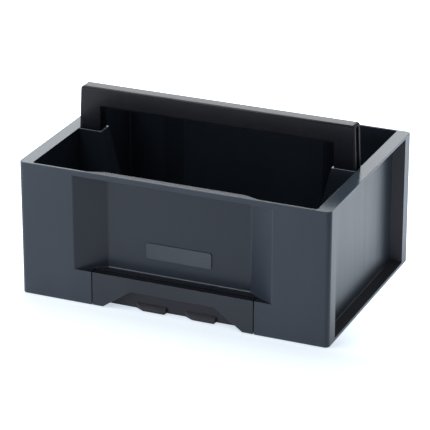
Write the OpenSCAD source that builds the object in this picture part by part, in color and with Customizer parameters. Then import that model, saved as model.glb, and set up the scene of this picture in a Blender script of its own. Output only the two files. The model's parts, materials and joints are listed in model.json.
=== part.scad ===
// Open tool caddy: a rectangular tub with a fixed carrying handle across its
// middle and a sprung coupling flap along the bottom of its front wall.
// Units are millimetres. X runs along the length, the front wall faces -Y,
// and Z is up. The origin is the centre of the footprint, on the ground.

/* [Body] */
// Length of the body along X
body_w = 396; // [390:1:402]
// Depth of the body along Y
body_d = 276; // [268:1:290]
// Height of the rim above the ground
rim_h = 171; // [160:1:180]
// Radius of the four upright outer corners
corner_r = 6; // [4:0.5:8]
// Thickness of the moulded walls
wall = 3; // [2.6:0.1:3.4]
// Height of the inside floor above the ground
floor_h = 8; // [8:0.5:10]
// Gap under the skirt when the caddy stands on its feet
skirt_gap = 0.8; // [0.6:0.1:1]

/* [Wall recesses] */
// Height of the ledge under the front and rear recess
ledge_h = 43.5; // [42:0.5:45]
// Depth of the recess
recess_depth = 22.5; // [21:0.5:24]
// Height of the top edge of the recess
roof_high = 164; // [162:0.5:166]
// Half length of the recess at the wall face
recess_half = 127.5; // [124:0.5:130]
// Half length of the flat panel at the back of the recess
panel_half = 92; // [90:0.5:96]
// Width of the rim along each side wall
side_rim = 17.5; // [16:0.5:18]
// Distance from the end of a side wall to its recess
post_d = 21.5; // [20:0.5:24]
// Height of the sill under the side recess
sill_h = 5; // [4.5:0.5:6]
// Thickness of the panel at the back of the side recess
side_panel = 1.8; // [1.6:0.1:3]

/* [Handle] */
// Height of the top of the handle above the ground
handle_h = 226.5; // [222:0.5:230]
// Thickness of the handle along Y
handle_t = 18; // [16:0.5:18]
// Half length of the handle at its top edge
handle_top_half = 177.5; // [176:0.5:178]
// Half length of the hand opening
window_half = 152; // [150:0.5:153]
// Height of the underside of the grip bar
grip_under = 201; // [198:0.5:203]
// Depth of the legs below the rim
leg_depth = 70; // [60:1:80]
// Width of the open slot in each end of the handle
slot_t = 9.4; // [9:0.2:10]

/* [Coupling flap] */
// Half length of the flap, without the seam
flap_half = 103.8; // [102:0.2:104]
// Width of the seam at each end of the flap
seam = 1; // [0.8:0.1:1.6]
// Distance from the front face to the flap's hinge axis
hinge_in = 8.5; // [8.5:0.1:9]
// Height of the finger recess
finger_h = 26.5; // [24:0.5:27]
// Depth of the finger recess
finger_d = 13; // [11:0.5:13]
// Radius of the hinge rod
rod_r = 2; // [2:0.1:2.2]

/* [Hidden] */
$fn = 64;
plastic = [0.24, 0.26, 0.29];
dark_plastic = [0.13, 0.14, 0.16];
steel = [0.72, 0.73, 0.75];
rubber = [0.07, 0.07, 0.07];
big = 1000;
eps = 0.01;
half_w = body_w / 2;
half_d = body_d / 2;
inner_x = half_w - side_rim;
inner_y = half_d - wall - 0.2;
panel_x = inner_x + side_panel;
post_core_x = inner_x + wall;
post_y = half_d - post_d;
low_y = half_d - recess_depth;
roof_low = roof_high - 7;
bend_r = 5;
ledge_slope = 1.2;
side_slope = 1.2;
rim_mid = 10;
rim_step_face = 109;
rim_step_back = 89;
ledge_under = ledge_h - wall;
floor_under = floor_h - wall;
// slant of the recess ends in plan, used to keep the wall even behind them
slant = atan2(recess_depth, recess_half - panel_half);
end_shift = wall / sin(slant) - wall / tan(slant);
rib = 2.5;
rib_step = 59;
// pillars
pillar_top_x = window_half - 2;
pillar_slope = 0.237;
pillar_foot_x = pillar_top_x - pillar_slope * (rim_h - floor_h);
pillar_top_y = 11;
pillar_foot_y = 13;
socket_x = window_half + 3.2;
socket_clear = 0.15;
leg_bottom = rim_h - leg_depth;
screw_x = [122, 143, 164];
screw_r = 2;
screw_head_r = 3.6;
pin_r = 2.5;
pin_x = 162.6;
pin_z = leg_bottom + 8;
// flap
hinge_y = -half_d + hinge_in;
hinge_z = ledge_h - hinge_in;
flap_bottom = 1;
knuckle_gap = 0.6;
run_fit = 0.05;
bay_half = flap_half + seam;
cheek_t = wall;
lug_x = 45;
lug_w = 8;
knuckle_w = 9;
knuckle_x = [32, 92];
spring_x = 74;
spring_wire = 1.2;
spring_r = 3.6;
spring_pitch = 1.25;
spring_steps = 105;
leg_x = spring_x + spring_steps / 20 * spring_pitch;
finger_top = 54;
finger_foot = 91.5;
hook_x = 32;
hook_w = 40;
hook_h = 8;
hook_out = 6;
rivet_r = 1.5;
plate_z = 74;
foot_x = 150;
foot_y = 100;
foot_r = 9;
foot_h = 4;

// ---- helpers ----

module rounded_rect(w, d, r) {
    square([w - 2 * r, d], center = true);
    square([w, d - 2 * r], center = true);
    for (x = [-1, 1], y = [-1, 1])
        translate([x * (w / 2 - r), y * (d / 2 - r)]) circle(r);
}

module front_and_rear() {
    children();
    mirror([0, 1, 0]) children();
}

module left_and_right() {
    children();
    mirror([1, 0, 0]) children();
}

// a box from one corner to the opposite one
module block(low, high) {
    translate(low) cube(high - low);
}

// an outline drawn in X and Z, given depth from y0 to y1
module along_y(y0, y1) {
    translate([0, y1, 0]) rotate([90, 0, 0]) linear_extrude(y1 - y0) children();
}

// an outline drawn in Y and Z, given length from x0 to x1
module along_x(x0, x1) {
    translate([x0, 0, 0]) rotate([90, 0, 90]) linear_extrude(x1 - x0) children();
}

// rounded turn of an outline that bends by angle a at (x, y)
function turn(x, y, r, a) = [
    for (i = [0 : 4]) let (t = 90 - a + a * i / 4)
        [x - r * tan(a / 2) + r * cos(t), y - r + r * sin(t)]
];

// plan outline of a bay in a long wall: flat at the back, slanted at its ends
module bay_outline(half_face, half_back, y_face, y_back, r) {
    side = concat(
        [[half_face, y_face]],
        turn(half_back, y_back, r, atan2(y_back - y_face, half_face - half_back))
    );
    count = len(side);
    polygon(concat(side, [for (i = [count - 1 : -1 : 0]) [-side[i][0], side[i][1]]]));
}

module at_height(z, t) {
    translate([0, 0, z]) linear_extrude(t) children();
}

// ---- tub ----

// air in front of the panel; its roof slopes down towards the panel, and a
// narrow slope runs along the back of the ledge
module recess_air() {
    half_face = recess_half - ledge_slope / sin(slant);
    half_back = panel_half - ledge_slope / sin(slant) + ledge_slope / tan(slant);
    hull() {
        at_height(ledge_h + ledge_slope, roof_low - ledge_h - ledge_slope)
            bay_outline(recess_half, panel_half, -half_d, -low_y, bend_r);
        at_height(ledge_h, eps)
            bay_outline(half_face, half_back, -half_d, -low_y - ledge_slope, bend_r + ledge_slope);
        block([-recess_half, -half_d - eps, ledge_h], [recess_half, -half_d, roof_high]);
    }
    block([-recess_half, -half_d - 5, ledge_h], [recess_half, -half_d, roof_high]);
}

// wall that wraps round the recess on the inside of the tub
module recess_wall() {
    half_face = recess_half + end_shift;
    half_back = panel_half + end_shift;
    hull() {
        at_height(skirt_gap, roof_low + wall - skirt_gap)
            bay_outline(half_face, half_back, -half_d + wall, -low_y + wall, bend_r - wall);
        block([-half_face, -half_d + eps, skirt_gap], [half_face, -half_d + wall, roof_high + wall]);
    }
    // rim, thicker over the recess
    at_height(roof_low, rim_h - roof_low)
        bay_outline(rim_step_face, rim_step_back, -inner_y - eps, -half_d + rim_mid, 2);
}

// air in the recess of a short wall, with a narrow slope along the foot of the panel
module side_recess_air() {
    out = half_w + 5;
    top = rim_h - wall + 0.5;
    along_y(-post_y, post_y) polygon([
        [panel_x, sill_h + side_slope], [panel_x + side_slope, sill_h],
        [out, sill_h], [out, top], [panel_x, top]
    ]);
}

// hollow inside each corner post, open underneath
module post_hollow() {
    block([post_core_x, -half_d + wall, -eps], [half_w - wall, -post_y - wall, rim_h - wall]);
}

module finger_outline(grow) {
    polygon([
        [-finger_foot - grow * 1.4, 0],
        [-finger_top - grow * 0.6, finger_h + grow],
        [finger_top + grow * 0.6, finger_h + grow],
        [finger_foot + grow * 1.4, 0]
    ]);
}

// bay that the flap swings in, open to the front and underneath
module flap_bay() {
    block([-bay_half, -half_d - 5, -eps], [bay_half, -low_y, ledge_under]);
    block([-bay_half, -half_d - 5, 0], [bay_half, hinge_y, rim_h / 3]);
    along_x(-bay_half, bay_half) translate([hinge_y, hinge_z]) circle(hinge_in + knuckle_gap);
}

// arms that carry the hinge rod
module rod_lugs() {
    for (x = [-lug_x, lug_x])
        along_x(x - lug_w / 2, x + lug_w / 2) {
            translate([hinge_y, hinge_z]) circle(4.4);
            translate([hinge_y, hinge_z - 4]) square([-low_y - hinge_y + 1, 8]);
        }
}

// hollows under the ledge beside the flap bay
module ledge_hollows() {
    x0 = bay_half + cheek_t;
    linear_extrude(ledge_under)
        left_and_right()
            polygon([
                [x0, -half_d + wall],
                [recess_half - 5, -half_d + wall],
                [x0, -half_d + wall + (recess_half - 5 - x0) * tan(slant)]
            ]);
}

// hollow under the rear ledge, with the fixed finger recess standing in it
module rear_hollow() {
    difference() {
        block([-panel_half, low_y, -eps], [panel_half, half_d - wall, ledge_under]);
        along_y(half_d - finger_d - wall, half_d + 5) finger_outline(wall);
    }
}

module floor_ribs() {
    for (i = [-2 : 2])
        block([i * rib_step - rib / 2, -half_d, skirt_gap], [i * rib_step + rib / 2, half_d, floor_h]);
    for (i = [-1 : 1])
        block([-half_w, i * rib_step - rib / 2, skirt_gap], [half_w, i * rib_step + rib / 2, floor_h]);
}

// space under the floor, inside the skirt
module under_floor() {
    difference() {
        block([-inner_x + wall, -inner_y + wall, -eps], [inner_x - wall, inner_y - wall, floor_under]);
        front_and_rear()
            block([-recess_half - 6, -half_d, -1], [recess_half + 6, -low_y + 2 * wall, floor_h]);
        floor_ribs();
        for (x = [-foot_x, foot_x], y = [-foot_y, foot_y])
            translate([x, y, -1]) cylinder(r = foot_r + 2.5, h = floor_h);
        left_and_right() for (x = screw_x)
            translate([x, 0, -1]) cylinder(r = screw_head_r + 2.5, h = floor_h);
    }
}

module tub() {
    color(plastic) difference() {
        union() {
            difference() {
                translate([0, 0, skirt_gap]) linear_extrude(rim_h - skirt_gap)
                    rounded_rect(body_w, body_d, corner_r);
                translate([0, 0, floor_h]) linear_extrude(rim_h)
                    rounded_rect(2 * inner_x, 2 * inner_y, 3);
            }
            front_and_rear() recess_wall();
        }
        front_and_rear() recess_air();
        left_and_right() side_recess_air();
        left_and_right() front_and_rear() post_hollow();
        difference() {
            flap_bay();
            rod_lugs();
        }
        ledge_hollows();
        rear_hollow();
        along_y(half_d - finger_d, half_d + 5) finger_outline(0);
        under_floor();
        // bores for the hinge rod, the pillar screws and the feet
        along_x(-bay_half - cheek_t, bay_half + cheek_t)
            translate([hinge_y, hinge_z]) circle(rod_r);
        left_and_right() for (x = screw_x) translate([x, 0, 0]) {
            translate([0, 0, -eps]) cylinder(r = screw_head_r + 0.3, h = floor_under);
            cylinder(r = screw_r + 0.3, h = floor_h + 1);
        }
        for (x = [-foot_x, foot_x], y = [-foot_y, foot_y])
            translate([x, y, -eps]) cylinder(r = foot_r, h = foot_h + eps);
        left_and_right() translate([hook_x, half_d - finger_d - wall - 1, hook_h / 2 + flap_bottom])
            rotate([-90, 0, 0]) cylinder(r = rivet_r, h = wall + 2);
    }
}

// ---- pillars that hold the handle's legs ----

module pillar_wedge(inset, top) {
    hull() {
        block([pillar_foot_x + inset, -pillar_foot_y + inset, floor_h],
              [inner_x, pillar_foot_y - inset, floor_h + eps]);
        block([pillar_top_x + inset + pillar_slope * (rim_h - top), -pillar_top_y + inset, top - eps],
              [inner_x, pillar_top_y - inset, top]);
    }
}

// the right-hand pillar; the left-hand one is its mirror image
module pillar() {
    socket_y = handle_t / 2 + socket_clear;
    difference() {
        union() {
            difference() {
                pillar_wedge(0, rim_h);
                translate([0, 0, -eps]) pillar_wedge(wall, leg_bottom - 2 * wall);
            }
            for (x = screw_x) translate([x, 0, floor_h]) cylinder(r = 4.6, h = 18);
            block([screw_x[0], -rib / 2, floor_h], [inner_x, rib / 2, floor_h + 18]);
        }
        // socket for the leg, open towards the side wall
        block([socket_x, -socket_y, leg_bottom], [inner_x + 1, socket_y, rim_h + 1]);
        for (x = screw_x) translate([x, 0, floor_h - 1]) cylinder(r = screw_r, h = 16);
        translate([pin_x, pillar_foot_y + 1, pin_z]) rotate([90, 0, 0])
            cylinder(r = pin_r, h = 2 * pillar_foot_y + 2);
    }
}

module right_pillar() {
    color(plastic) pillar();
}

module left_pillar() {
    color(plastic) mirror([1, 0, 0]) pillar();
}

module pillar_screws() {
    for (x = screw_x) translate([x, 0, 0]) {
        translate([0, 0, floor_under - 2.6]) difference() {
            cylinder(r = screw_head_r, h = 2.6);
            translate([0, 0, -eps]) cylinder(r = 1.6, h = 1.6, $fn = 6);
        }
        translate([0, 0, floor_under - eps]) cylinder(r = screw_r, h = wall + 14);
    }
}

module right_pillar_screws() {
    color(steel) pillar_screws();
}

module left_pillar_screws() {
    color(steel) mirror([1, 0, 0]) pillar_screws();
}

// ---- handle ----

module handle_outline() {
    leg_out = inner_x - 0.6;
    tenon_in = socket_x + 0.3;
    r = 4;
    corner = [
        for (a = [0 : 15 : 90])
            [handle_top_half - r + r * cos(a), handle_h - r + r * sin(a)]
    ];
    count = len(corner);
    polygon(concat(
        corner,
        [for (i = [count - 1 : -1 : 0]) [-corner[i][0], corner[i][1]]],
        [
            [-leg_out, rim_h], [-leg_out, leg_bottom + 0.3],
            [-tenon_in, leg_bottom + 0.3], [-tenon_in, rim_h], [-window_half, rim_h],
            [-window_half, grip_under], [window_half, grip_under],
            [window_half, rim_h], [tenon_in, rim_h],
            [tenon_in, leg_bottom + 0.3], [leg_out, leg_bottom + 0.3], [leg_out, rim_h]
        ]
    ));
}

// end view of the handle, with rounded top edges
module handle_side() {
    r = 2.4;
    translate([-handle_t / 2, 0]) square([handle_t, handle_h - r]);
    translate([-handle_t / 2 + r, 0]) square([handle_t - 2 * r, handle_h]);
    for (y = [-1, 1]) translate([y * (handle_t / 2 - r), handle_h - r]) circle(r);
}

// what is cut away to round the lower edges of the grip bar
module bar_edges() {
    r = 3;
    for (y = [-1, 1]) difference() {
        translate([y * (handle_t / 2 - 1), grip_under + 1]) square(r + 1, center = true);
        translate([y * (handle_t / 2 - r), grip_under + r]) circle(r);
    }
}

module handle() {
    top_wall = 3.8;
    core_x = socket_x + wall + 0.3;
    web_x = core_x + 7.8;
    color(dark_plastic) difference() {
        intersection() {
            along_y(-handle_t / 2, handle_t / 2) handle_outline();
            along_x(-half_w, half_w) handle_side();
        }
        along_x(-window_half, window_half) bar_edges();
        // the legs are open slots at their ends, with one web across each
        left_and_right() {
            block([core_x, -slot_t / 2, 0], [web_x, slot_t / 2, handle_h - top_wall]);
            block([web_x + rib, -slot_t / 2, 0], [half_w, slot_t / 2, handle_h - top_wall]);
        }
        block([-window_half + wall, -slot_t / 2, 0], [window_half - wall, slot_t / 2, handle_h - top_wall]);
        left_and_right() translate([pin_x, handle_t, pin_z]) rotate([90, 0, 0])
            cylinder(r = pin_r, h = 2 * handle_t);
    }
}

// strip that closes the underside of the grip bar
module grip_insert() {
    half = window_half - wall;
    color(dark_plastic) difference() {
        block([-half, -slot_t / 2, grip_under + 0.8], [half, slot_t / 2, handle_h - 3.8]);
        for (i = [-3 : 3])
            block([i * 42 - 18, -slot_t / 2 + 2, grip_under + 4], [i * 42 + 18, slot_t / 2 - 2, handle_h]);
    }
}

module lock_pin() {
    translate([pin_x, pillar_top_y + 0.5, pin_z]) rotate([90, 0, 0])
        cylinder(r = pin_r, h = 2 * pillar_top_y + 1);
}

module right_lock_pin() {
    color(steel) lock_pin();
}

module left_lock_pin() {
    color(steel) mirror([1, 0, 0]) lock_pin();
}

// ---- coupling flap ----

// end view of the hollow beam along the top of the flap
module flap_beam(t) {
    difference() {
        union() {
            translate([-half_d, hinge_z]) square([hinge_in, hinge_in]);
            translate([hinge_y, hinge_z]) circle(hinge_in);
        }
        if (t > 0) {
            translate([-half_d + t, hinge_z - hinge_in]) square([hinge_in - t, 2 * hinge_in - t]);
            translate([hinge_y, hinge_z]) circle(hinge_in - t);
        }
        translate([-half_d - 1, 0]) square([2 * hinge_in + 2, hinge_z - 2]);
    }
}

module coupling_flap() {
    back = -half_d + finger_d + wall;
    color(plastic) difference() {
        union() {
            difference() {
                along_x(-flap_half, flap_half) flap_beam(wall);
                // room for the arms that carry the rod, also when the flap is open; the skin
                // stays whole on top
                for (x = [-lug_x, lug_x])
                    along_x(x - lug_w / 2 - 1, x + lug_w / 2 + 1) translate([hinge_y, hinge_z])
                        polygon([[0, -hinge_z], [0, 0], [4.6, 20], [20, 20], [20, -hinge_z]]);
                left_and_right() block([leg_x - 1, hinge_y, 0], [leg_x + 1, 0, ledge_under]);
            }
            block([-flap_half, -half_d, flap_bottom], [flap_half, -half_d + wall, ledge_h]);
            left_and_right() {
                for (x = knuckle_x)
                    along_x(x - knuckle_w / 2, x + knuckle_w / 2) flap_beam(0);
                along_x(flap_half - wall, flap_half) {
                    flap_beam(0);
                    translate([-half_d, flap_bottom]) square([hinge_in + 4, hinge_z]);
                }
            }
            intersection() {
                along_y(-half_d, back) finger_outline(wall);
                block([-flap_half, -half_d, flap_bottom], [flap_half, back, ledge_h]);
            }
        }
        along_y(-half_d - 1, back - wall) finger_outline(0);
        // bore for the hinge rod
        along_x(-flap_half - 1, flap_half + 1)
            translate([hinge_y, hinge_z]) circle(rod_r + run_fit);
        left_and_right() translate([hook_x, back - wall - 1, hook_h / 2 + flap_bottom])
            rotate([-90, 0, 0]) cylinder(r = rivet_r, h = wall + 2);
    }
}

module flap_hinge_rod() {
    length = 2 * (bay_half + cheek_t);
    color(steel) translate([-length / 2, hinge_y, hinge_z]) rotate([0, 90, 0])
        cylinder(r = rod_r, h = length);
}

// wedge-shaped hook with its rivet; it is slanted on top and at its left end
module hook(x) {
    half = hook_w / 2;
    translate([x, -half_d + finger_d, flap_bottom]) {
        intersection() {
            along_x(-half, half)
                polygon([[0, 0], [-hook_out, 0], [-hook_out, 1.5], [0, hook_h]]);
            at_height(0, hook_h)
                polygon([[-half, 0], [11 - half, -hook_out], [half - 1, -hook_out], [half, 0]]);
        }
        translate([0, -eps, hook_h / 2]) rotate([-90, 0, 0]) cylinder(r = rivet_r, h = wall + eps);
        translate([0, wall, hook_h / 2]) rotate([-90, 0, 0]) cylinder(r = rivet_r + 1.2, h = 1.2);
    }
}

module right_flap_hook() {
    color(dark_plastic) hook(hook_x);
}

module left_flap_hook() {
    color(dark_plastic) hook(-hook_x);
}

module right_rear_hook() {
    color(dark_plastic) rotate([0, 0, 180]) hook(-hook_x);
}

module left_rear_hook() {
    color(dark_plastic) rotate([0, 0, 180]) hook(hook_x);
}

// stations along the torsion spring: [x, angle round the rod, distance along a leg]
spring_path = concat(
    [[0, 180, -16]],
    [for (i = [0 : spring_steps]) [i / 20 * spring_pitch, 180 - i * 18, 0]],
    [[spring_steps / 20 * spring_pitch, 180 - spring_steps * 18, 11.5]]
);

// point k of the wire's section at one station
function wire_point(s, k) =
    let (
        side = spring_wire / 2 * cos(k * 45),
        out = spring_r + spring_wire / 2 * sin(k * 45),
        y = out * cos(s[1]) + s[2] * sin(s[1]),
        z = out * sin(s[1]) - s[2] * cos(s[1])
    ) [s[0] + side, y, z];

// torsion spring round the hinge rod: close turns with two straight legs
module flap_spring() {
    last = len(spring_path) - 1;
    translate([spring_x, hinge_y, hinge_z]) polyhedron(
        points = [for (s = spring_path, k = [0 : 7]) wire_point(s, k)],
        faces = concat(
            [[for (k = [0 : 7]) k]],
            [for (i = [0 : last - 1], k = [0 : 7]) let (n = (k + 1) % 8)
                [i * 8 + k, i * 8 + 8 + k, i * 8 + 8 + n, i * 8 + n]],
            [[for (k = [7 : -1 : 0]) last * 8 + k]]
        )
    );
}

module right_flap_spring() {
    color(steel) flap_spring();
}

module left_flap_spring() {
    color(steel) mirror([1, 0, 0]) flap_spring();
}

// ---- small parts ----

// blank plate on the panel at the back of the front recess
module name_plate() {
    color(plastic) translate([0, -low_y, plate_z]) rotate([90, 0, 0])
        linear_extrude(1.2) rounded_rect(84, 20, 3);
}

module foot() {
    cylinder(r = foot_r, h = foot_h);
}

module front_left_foot() {
    color(rubber) translate([-foot_x, -foot_y, 0]) foot();
}

module front_right_foot() {
    color(rubber) translate([foot_x, -foot_y, 0]) foot();
}

module rear_left_foot() {
    color(rubber) translate([-foot_x, foot_y, 0]) foot();
}

module rear_right_foot() {
    color(rubber) translate([foot_x, foot_y, 0]) foot();
}

tub();
left_pillar();
right_pillar();
left_pillar_screws();
right_pillar_screws();
handle();
grip_insert();
left_lock_pin();
right_lock_pin();
coupling_flap();
flap_hinge_rod();
left_flap_spring();
right_flap_spring();
left_flap_hook();
right_flap_hook();
left_rear_hook();
right_rear_hook();
name_plate();
front_left_foot();
front_right_foot();
rear_left_foot();
rear_right_foot();
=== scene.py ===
"""Looks of the open tool caddy: moulded anthracite plastic, black handle, pale studio."""
import json
import math

import bpy
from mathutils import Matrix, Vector

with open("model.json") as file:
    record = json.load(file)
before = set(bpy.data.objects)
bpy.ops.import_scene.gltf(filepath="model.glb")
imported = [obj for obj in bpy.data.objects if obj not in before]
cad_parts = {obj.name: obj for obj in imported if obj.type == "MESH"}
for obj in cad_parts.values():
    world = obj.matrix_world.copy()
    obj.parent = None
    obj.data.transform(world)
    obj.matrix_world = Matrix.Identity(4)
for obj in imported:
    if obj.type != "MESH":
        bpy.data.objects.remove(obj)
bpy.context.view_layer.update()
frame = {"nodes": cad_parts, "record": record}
scene = bpy.context.scene


# ---- material helpers ----

def new_material(name):
    """A node material with its own Principled shader and an output that gives places in metres."""
    material = bpy.data.materials.new(name)
    material.use_nodes = True
    nodes, links = material.node_tree.nodes, material.node_tree.links
    nodes.clear()
    output = nodes.new("ShaderNodeOutputMaterial")
    shader = nodes.new("ShaderNodeBsdfPrincipled")
    place = nodes.new("ShaderNodeTexCoord")
    links.new(shader.outputs["BSDF"], output.inputs["Surface"])
    return material, nodes, links, shader, place.outputs["Object"]


def noise(nodes, links, place, scale, detail=3.0, stretch=(1, 1, 1)):
    """Noise with a given number of features per metre; stretch multiplies it along each axis."""
    mapping = nodes.new("ShaderNodeMapping")
    mapping.inputs["Scale"].default_value = stretch
    links.new(place, mapping.inputs["Vector"])
    texture = nodes.new("ShaderNodeTexNoise")
    texture.inputs["Scale"].default_value = scale
    texture.inputs["Detail"].default_value = detail
    links.new(mapping.outputs["Vector"], texture.inputs["Vector"])
    return texture.outputs["Fac"]


def ramp(nodes, links, value, low, high, start=0.35, end=0.65):
    """Turns a value that runs from start to end into one that runs from low to high."""
    node = nodes.new("ShaderNodeMapRange")
    node.inputs["From Min"].default_value = start
    node.inputs["From Max"].default_value = end
    node.inputs["To Min"].default_value = low
    node.inputs["To Max"].default_value = high
    links.new(value, node.inputs["Value"])
    return node.outputs["Result"]


def multiply(nodes, links, first, second):
    """The product of two outputs."""
    node = nodes.new("ShaderNodeMath")
    node.operation = "MULTIPLY"
    links.new(first, node.inputs[0])
    links.new(second, node.inputs[1])
    return node.outputs["Value"]


def vector_step(nodes, links, operation, vector, amount=None):
    """A vector math node on one output, with a fixed second vector where it needs one."""
    node = nodes.new("ShaderNodeVectorMath")
    node.operation = operation
    links.new(vector, node.inputs[0])
    if amount is not None:
        node.inputs[1].default_value = amount
    return node


def split_axes(nodes, links, vector):
    """The outputs X, Y and Z of a vector."""
    node = nodes.new("ShaderNodeSeparateXYZ")
    links.new(vector, node.inputs["Vector"])
    return node.outputs


def mix_colours(nodes, links, factor, first, second):
    """Mixes two colours, or the outputs that give them, by a factor."""
    node = nodes.new("ShaderNodeMix")
    node.data_type = "RGBA"
    links.new(factor, node.inputs["Factor"])
    for socket, value in ((node.inputs["A"], first), (node.inputs["B"], second)):
        if hasattr(value, "links"):
            links.new(value, socket)
        else:
            socket.default_value = (*value, 1.0)
    return node.outputs["Result"]


def bump(nodes, links, height, distance, under=None):
    """Bump whose height runs over distance metres, laid over another bump."""
    node = nodes.new("ShaderNodeBump")
    node.inputs["Distance"].default_value = distance
    node.inputs["Strength"].default_value = 1.0
    links.new(height, node.inputs["Height"])
    if under is not None:
        links.new(under, node.inputs["Normal"])
    return node.outputs["Normal"]


# half the width over which a limit is blended, in metres
LIMIT_BLEND = 0.0003


def within(nodes, links, place, limits):
    """1 inside limits, else 0.

    Limits are an axis to (low, high), as distances in metres from the middle plane of that axis.
    """
    axes = split_axes(nodes, links,
                      vector_step(nodes, links, "ABSOLUTE", place).outputs["Vector"])
    result = None
    for axis, (low, high) in limits.items():
        for edge, before, after in ((low, 0.0, 1.0), (high, 1.0, 0.0)):
            step = ramp(nodes, links, axes[axis], before, after,
                        edge - LIMIT_BLEND, edge + LIMIT_BLEND)
            result = step if result is None else multiply(nodes, links, result, step)
    return result


# ---- materials ----

# height at which the polish of the rims begins, and the height over which it comes in
RIM_HEIGHT = 0.1705
RIM_BLEND = 0.001
# what the rims' roughness is multiplied by, and specular levels below and on the rims
RIM_POLISH = 0.5
PLAIN_SPECULAR = 0.5
RIM_SPECULAR = 0.62
# roughness added where a surface is left dull
DULLNESS = 0.4


def moulded_plastic(name, colour, roughness, index=1.35, painted_light_and_shade=(), rim=None, dull=None):
    """Moulded plastic: flow streaks, a fine grain, slow sink waves and drawn streaks in the polish.

    Each of painted_light_and_shade is a colour of painted light or painted shade, with the limits
    it has, as for within(). Above the height rim the surface is more polished. Within the limits
    dull it is rougher.
    """
    material, nodes, links, shader, place = new_material(name)
    light = tuple(c * 1.18 + 0.0015 for c in colour)
    dark = tuple(c * 0.86 for c in colour)
    streaks = noise(nodes, links, place, 9.0, detail=4.0, stretch=(1.0, 1.0, 0.25))
    speckle = noise(nodes, links, place, 1900.0, detail=2.0)
    base = mix_colours(nodes, links, ramp(nodes, links, streaks, 0.0, 1.0), dark, light)
    base = mix_colours(nodes, links, ramp(nodes, links, speckle, 0.0, 0.25), base, light)
    # lay each colour of painted light or painted shade over its region
    for shade, limits in painted_light_and_shade:
        base = mix_colours(nodes, links, within(nodes, links, place, limits), base, shade)
    links.new(base, shader.inputs["Base Color"])

    rubbed = noise(nodes, links, place, 90.0, stretch=(1.0, 1.0, 0.06))
    uneven = ramp(nodes, links, rubbed, roughness * 0.93, roughness * 1.08)
    if rim is not None:
        height = split_axes(nodes, links, place)["Z"]
        polish = ramp(nodes, links, height, 1.0, RIM_POLISH, rim - RIM_BLEND, rim)
        uneven = multiply(nodes, links, uneven, polish)
        specular = ramp(nodes, links, height, PLAIN_SPECULAR, RIM_SPECULAR, rim - RIM_BLEND, rim)
        links.new(specular, shader.inputs["Specular IOR Level"])
    if dull is not None:
        rougher = nodes.new("ShaderNodeMath")
        rougher.operation = "MULTIPLY_ADD"
        links.new(within(nodes, links, place, dull), rougher.inputs[0])
        rougher.inputs[1].default_value = DULLNESS
        links.new(uneven, rougher.inputs[2])
        uneven = rougher.outputs["Value"]
    links.new(uneven, shader.inputs["Roughness"])
    shader.inputs["IOR"].default_value = index

    waves = noise(nodes, links, place, 11.0, detail=1.0, stretch=(1.0, 1.0, 0.35))
    grain = noise(nodes, links, place, 2600.0, detail=2.0)
    normal = bump(nodes, links, waves, 0.00025)
    normal = bump(nodes, links, grain, 0.00002, under=normal)
    links.new(normal, shader.inputs["Normal"])
    return material


def plated_steel(name, colour, roughness):
    """Plated steel with drawing marks and a cloudy, uneven polish."""
    material, nodes, links, shader, place = new_material(name)
    clouds = noise(nodes, links, place, 160.0, detail=4.0)
    marks = noise(nodes, links, place, 900.0, detail=2.0, stretch=(0.08, 1.0, 1.0))
    stain = tuple(c * 0.6 for c in colour)
    base = mix_colours(nodes, links, ramp(nodes, links, clouds, 0.0, 1.0), stain, colour)
    uneven = ramp(nodes, links, clouds, roughness * 0.7, roughness * 1.3)
    links.new(base, shader.inputs["Base Color"])
    links.new(uneven, shader.inputs["Roughness"])
    shader.inputs["Metallic"].default_value = 1.0
    links.new(bump(nodes, links, marks, 0.00002), shader.inputs["Normal"])
    return material


def dusty_rubber(name):
    """Matt black rubber with dusty patches."""
    material, nodes, links, shader, place = new_material(name)
    dust = noise(nodes, links, place, 260.0, detail=5.0)
    base = mix_colours(nodes, links, ramp(nodes, links, dust, 0.0, 0.5, 0.5, 0.75),
                       (0.012, 0.012, 0.012), (0.05, 0.048, 0.045))
    grain = noise(nodes, links, place, 2200.0)
    links.new(base, shader.inputs["Base Color"])
    links.new(ramp(nodes, links, dust, 0.75, 0.95), shader.inputs["Roughness"])
    links.new(bump(nodes, links, grain, 0.00004), shader.inputs["Normal"])
    return material


# regions of the body with painted light or painted shade in their colour; a limit of -1 or 1 lies
# outside the body
# painted shade: the recessed faces within these limits are coloured darker
RECESS_PAINTED_SHADE = {"X": (-1.0, 0.132), "Y": (0.1149, 0.1372)}
# painted light: the recesses in the short walls are coloured lighter, as if lit more
SIDE_RECESS_PAINTED_LIGHT = {"X": (0.1828, 0.1972), "Y": (-1.0, 0.1206), "Z": (0.0, 0.169)}
# painted highlight: the tops of the rims are coloured some four times lighter than the walls
RIM_PAINTED_HIGHLIGHT = {"Z": (0.1706, 1.0)}
# painted shade: the rims of the long walls lose the painted highlight and are coloured about as
# dark as the walls, a little bluer
LONG_RIM_PAINTED_SHADE = {"X": (-1.0, 0.1798), "Y": (0.1275, 1.0), "Z": (0.1706, 1.0)}
HANDLE_ENDS = {"X": (0.1768, 1.0)}

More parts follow.
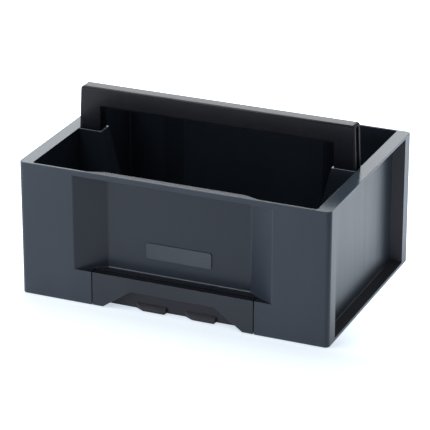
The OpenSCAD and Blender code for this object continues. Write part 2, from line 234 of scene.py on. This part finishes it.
FINISH = {
    # the body's plastic carries painted shade in the recesses, painted light in the side recesses
    # and a painted highlight on the rims
    "body_plastic": moulded_plastic("body_plastic", (0.0185, 0.024, 0.034), 0.3, rim=RIM_HEIGHT,
                                    painted_light_and_shade=(((0.0145, 0.0185, 0.026), RECESS_PAINTED_SHADE),
                                            ((0.062, 0.060, 0.068), SIDE_RECESS_PAINTED_LIGHT),
                                            ((0.078, 0.102, 0.130), RIM_PAINTED_HIGHLIGHT),
                                            ((0.018, 0.028, 0.046), LONG_RIM_PAINTED_SHADE))),
    "handle_plastic": moulded_plastic("handle_plastic", (0.0045, 0.0046, 0.0066), 0.24,
                                      index=1.33, dull=HANDLE_ENDS),
    "hook_plastic": moulded_plastic("hook_plastic", (0.0148, 0.0145, 0.0192), 0.5, index=1.33),
    "plate_plastic": moulded_plastic("plate_plastic", (0.032, 0.038, 0.047), 0.3),
    "screw_steel": plated_steel("zinc_steel", (0.62, 0.62, 0.58), 0.32),
    "pin_steel": plated_steel("ground_steel", (0.6, 0.6, 0.6), 0.22),
    "spring_steel": plated_steel("wire_steel", (0.46, 0.46, 0.48), 0.3),
    "foot_rubber": dusty_rubber("foot_rubber"),
}
# the flap is a separate moulding of the body's plastic, coloured a little darker as painted shade;
# its finger recess is darker still, painted shade
FLAP_FINISH_WITH_PAINTED_SHADE = moulded_plastic("flap_plastic", (0.0145, 0.0175, 0.0240), 0.3,
                              painted_light_and_shade=(((0.0112, 0.0106, 0.0158), RECESS_PAINTED_SHADE),))

# edge radius of each kind of piece, in metres; springs have round wire and no edges
EDGE = {
    "body_plastic": 0.00055,
    "handle_plastic": 0.0007,
    "hook_plastic": 0.0005,
    "plate_plastic": 0.0003,
    "screw_steel": 0.0002,
    "pin_steel": 0.0003,
    "foot_rubber": 0.0006,
}
EDGE_SEGMENTS = 3
# corners this close are one corner, in metres
SAME_CORNER = 0.000002
# faces that meet at less than the first angle are one face, and edges above the second are sharp
FLAT_ANGLE = math.radians(0.5)
SHARP_ANGLE = math.radians(28)


def soften_edges(node, radius):
    """Joins the split corners of a CAD node, merges its flat faces and rounds its sharp edges."""
    weld = node.modifiers.new("weld", "WELD")
    weld.merge_threshold = SAME_CORNER
    flatten = node.modifiers.new("flatten", "DECIMATE")
    flatten.decimate_type = "DISSOLVE"
    flatten.angle_limit = FLAT_ANGLE
    rounding = node.modifiers.new("rounding", "BEVEL")
    rounding.width = radius
    rounding.segments = EDGE_SEGMENTS
    rounding.limit_method = "ANGLE"
    rounding.angle_limit = SHARP_ANGLE
    rounding.use_clamp_overlap = False
    rounding.harden_normals = True
    rounding.miter_outer = "MITER_SHARP"
    rounding.loop_slide = False


slots = {row["node"]: row["material_slot"] for row in frame["record"]["subparts"]}
for name, node in frame["nodes"].items():
    slot = slots[name]
    node.data.materials.clear()
    node.data.materials.append(FLAP_FINISH_WITH_PAINTED_SHADE if name == "coupling_flap" else FINISH[slot])
    if slot in EDGE:
        soften_edges(node, EDGE[slot])


# ---- studio ----

FLOOR_RADIUS = 12.0
FLOOR_SIDES = 96
# half the length and depth inside which the floor counts as under the caddy; its painted contact
# shadow fades out from there
FOOTPRINT = (0.19, 0.13, 0)
WORLD_COLOUR = (0.9, 0.95, 1.0, 1)
WORLD_STRENGTH = 0.32


def area_light(name, place, target, size, power, colour, mirrored=True, lights=True):
    """A rectangular lamp at place that faces target.

    It can be left out of mirror images, or light nothing and be seen only in mirror images.
    """
    data = bpy.data.lights.new(name, "AREA")
    data.shape = "RECTANGLE"
    data.size, data.size_y = size
    data.energy = power
    data.color = colour
    lamp = bpy.data.objects.new(name, data)
    lamp.location = place
    direction = Vector(target) - Vector(place)
    lamp.rotation_euler = direction.to_track_quat("-Z", "Y").to_euler()
    lamp.visible_glossy = mirrored
    lamp.visible_diffuse = lights
    scene.collection.objects.link(lamp)


def round_floor(radius, sides):
    """A flat round floor under the caddy's feet."""
    angles = [2 * math.pi * i / sides for i in range(sides)]
    points = [(radius * math.cos(angle), radius * math.sin(angle), 0) for angle in angles]
    mesh = bpy.data.meshes.new("floor")
    mesh.from_pydata(points, [], [tuple(range(sides))])
    floor = bpy.data.objects.new("floor", mesh)
    scene.collection.objects.link(floor)
    return floor


def floor_finish():
    """Pale matt floor that glows like a light table, with a painted contact shadow round the caddy
    and painted light behind it.
    """
    material, nodes, links, shader, place = new_material("pale_floor")
    tint = ramp(nodes, links, noise(nodes, links, place, 3.0), 0.0, 1.0)
    base = mix_colours(nodes, links, tint, (0.80, 0.80, 0.80), (0.83, 0.83, 0.83))
    links.new(base, shader.inputs["Base Color"])
    shader.inputs["Roughness"].default_value = 0.9

    # distance from the footprint
    away = vector_step(nodes, links, "ABSOLUTE", place).outputs["Vector"]
    away = vector_step(nodes, links, "SUBTRACT", away, FOOTPRINT).outputs["Vector"]
    away = vector_step(nodes, links, "MAXIMUM", away, (0, 0, 0)).outputs["Vector"]
    away = vector_step(nodes, links, "LENGTH", away).outputs["Value"]
    # painted contact shadow: the floor's glow is cut to 0.68 at the caddy and comes back over 8 cm
    painted_contact_shadow = ramp(nodes, links, away, 0.68, 1.0, 0.0, 0.08)
    # painted light: the glow is 0.7 in front of the caddy and 1.7 from about its middle backwards
    behind = ramp(nodes, links, split_axes(nodes, links, place)["Y"], 0.70, 1.7, -0.15, -0.02)
    links.new(multiply(nodes, links, painted_contact_shadow, behind), shader.inputs["Emission Strength"])
    shader.inputs["Emission Color"].default_value = (0.88, 0.98, 1.08, 1)
    return material


floor = round_floor(FLOOR_RADIUS, FLOOR_SIDES)
floor.data.materials.append(floor_finish())

world = bpy.data.worlds.new("studio")
scene.world = world
world.use_nodes = True
world.node_tree.nodes["Background"].inputs["Color"].default_value = WORLD_COLOUR
world.node_tree.nodes["Background"].inputs["Strength"].default_value = WORLD_STRENGTH

scene.view_settings.view_transform = "Standard"

# bright wall behind the caddy, mirrored in the rims and the top of the handle
area_light("back_wall", (-1.3, 3.0, 1.15), (0, 0, 0.15), (3.4, 2.4), 62, (0.97, 1.0, 1.03))
# low key lamp, at the height of the body, from the front left
area_light("low_key", (-1.2, -0.98, 0.13), (0, 0, 0.13), (1.0, 0.22), 28, (0.95, 0.98, 1.0),
           mirrored=False)
# a long card overhead, seen only in mirror images, and a softbox towards the front left
area_light("ceiling", (-0.95, -0.85, 2.1), (-0.95, -0.85, 0), (1.1, 3.5), 38, (0.97, 1.0, 1.03),
           lights=False)
area_light("softbox", (-0.8, -0.9, 1.9), (0, 0, 0.1), (1.2, 0.9), 10, (0.97, 0.99, 1.0))


# ---- camera ----

# angles in degrees, distances in metres, lens and sensor in millimetres
CAMERA_AZIMUTH = 23.307
CAMERA_ELEVATION = 22.961
CAMERA_DISTANCE = 3.0477
CAMERA_REACH = 60
LENS = 209.6
SENSOR = 36
LOOK_AT = Vector((-0.003638, 0, 0.080706))


def front_camera():
    """The camera, to the front right of the caddy and above it."""
    azimuth, elevation = math.radians(CAMERA_AZIMUTH), math.radians(CAMERA_ELEVATION)
    back = Vector((math.sin(azimuth) * math.cos(elevation),
                   -math.cos(azimuth) * math.cos(elevation),
                   math.sin(elevation)))
    data = bpy.data.cameras.new("camera")
    data.lens = LENS
    data.sensor_width = SENSOR
    data.clip_end = CAMERA_REACH
    camera = bpy.data.objects.new("camera", data)
    camera.location = LOOK_AT + back * CAMERA_DISTANCE
    camera.rotation_euler = (-back).to_track_quat("-Z", "Y").to_euler()
    scene.collection.objects.link(camera)
    return camera


scene.camera = front_camera()
